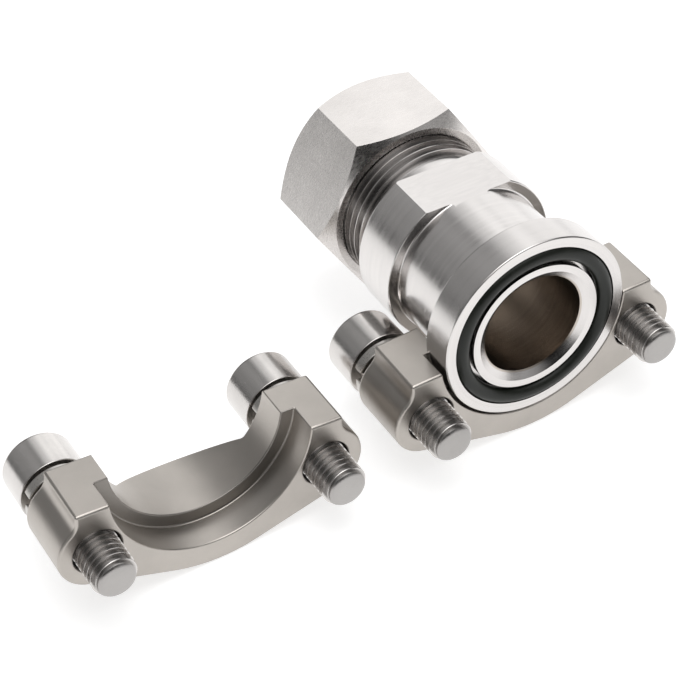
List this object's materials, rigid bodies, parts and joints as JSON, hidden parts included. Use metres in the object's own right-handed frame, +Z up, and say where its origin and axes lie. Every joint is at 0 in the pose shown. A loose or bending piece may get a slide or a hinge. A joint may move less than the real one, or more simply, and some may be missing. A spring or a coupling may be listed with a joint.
{
  "type": "hydraulic split flange connection",
  "caption": "Split flange connection: sealing head with face seal, spanner collar, cutting ring tube nut, clamp halves with socket head screws and spring washers.",
  "frame": {"origin": "on the flange axis, in the plane where the shoulder of the flange head seats in the clamp half", "axes": "+Z up, +X along the line of the two screws, +Y along the flange axis from the sealing face towards the tube nut"},
  "size_m": [0.146, 0.0829, 0.0508],
  "materials": {
    "body_steel": "turned",
    "half_steel": "satin, fine ground",
    "nut_steel": "brushed",
    "screw_steel": "bright satin",
    "washer_steel": "satin",
    "ring_steel": "satin",
    "seal_rubber": "smooth nitrile"
  },
  "bodies": {
    "flange": {"adapter_body": "body_steel", "o_ring": "seal_rubber", "half_fitted": "half_steel", "half_loose": "half_steel"},
    "ring": {"cutting_ring": "ring_steel"},
    "nut": {"union_nut": "nut_steel"},
    "washer_1": {"washer_1": "washer_steel"},
    "screw_1": {"screw_1": "screw_steel"},
    "washer_2": {"washer_2": "washer_steel"},
    "screw_2": {"screw_2": "screw_steel"},
    "washer_3": {"washer_3": "washer_steel"},
    "screw_3": {"screw_3": "screw_steel"},
    "washer_4": {"washer_4": "washer_steel"},
    "screw_4": {"screw_4": "screw_steel"}
  },
  "joints": [
    {"name": "ring_slide", "type": "slide", "parent": "flange", "child": "ring", "axis": [0, 1, 0], "range_m": [0, 0.0121]},
    {"name": "nut_turn", "type": "hinge", "parent": "ring", "child": "nut", "pos_m": [0, 0, 0], "axis": [0, 1, 0], "range_deg": [0, 2160]},
    {"name": "screw_slide_1", "type": "slide", "parent": "flange", "child": "washer_1", "axis": [0, 1, 0], "range_m": [0, 0.018]},
    {"name": "screw_turn_1", "type": "hinge", "parent": "washer_1", "child": "screw_1", "pos_m": [-0.0262, 0, -0.0131], "axis": [0, 1, 0], "continuous": true},
    {"name": "screw_slide_2", "type": "slide", "parent": "flange", "child": "washer_2", "axis": [0, 1, 0], "range_m": [0, 0.018]},
    {"name": "screw_turn_2", "type": "hinge", "parent": "washer_2", "child": "screw_2", "pos_m": [0.0262, 0, -0.0131], "axis": [0, 1, 0], "continuous": true},
    {"name": "screw_slide_3", "type": "slide", "parent": "flange", "child": "washer_3", "axis": [0, 1, 0], "range_m": [0, 0.026]},
    {"name": "screw_turn_3", "type": "hinge", "parent": "washer_3", "child": "screw_3", "pos_m": [-0.10244, 0.0032, -0.01075], "axis": [0, 1, 0], "continuous": true},
    {"name": "screw_slide_4", "type": "slide", "parent": "flange", "child": "washer_4", "axis": [0, 1, 0], "range_m": [0, 0.026]},
    {"name": "screw_turn_4", "type": "hinge", "parent": "washer_4", "child": "screw_4", "pos_m": [-0.05024, 0.0032, -0.01531], "axis": [0, 1, 0], "continuous": true}
  ],
  "couplings": [
    {"joint": "ring_slide", "follows": "nut_turn", "m_per_rad": 0.00031831}
  ]
}
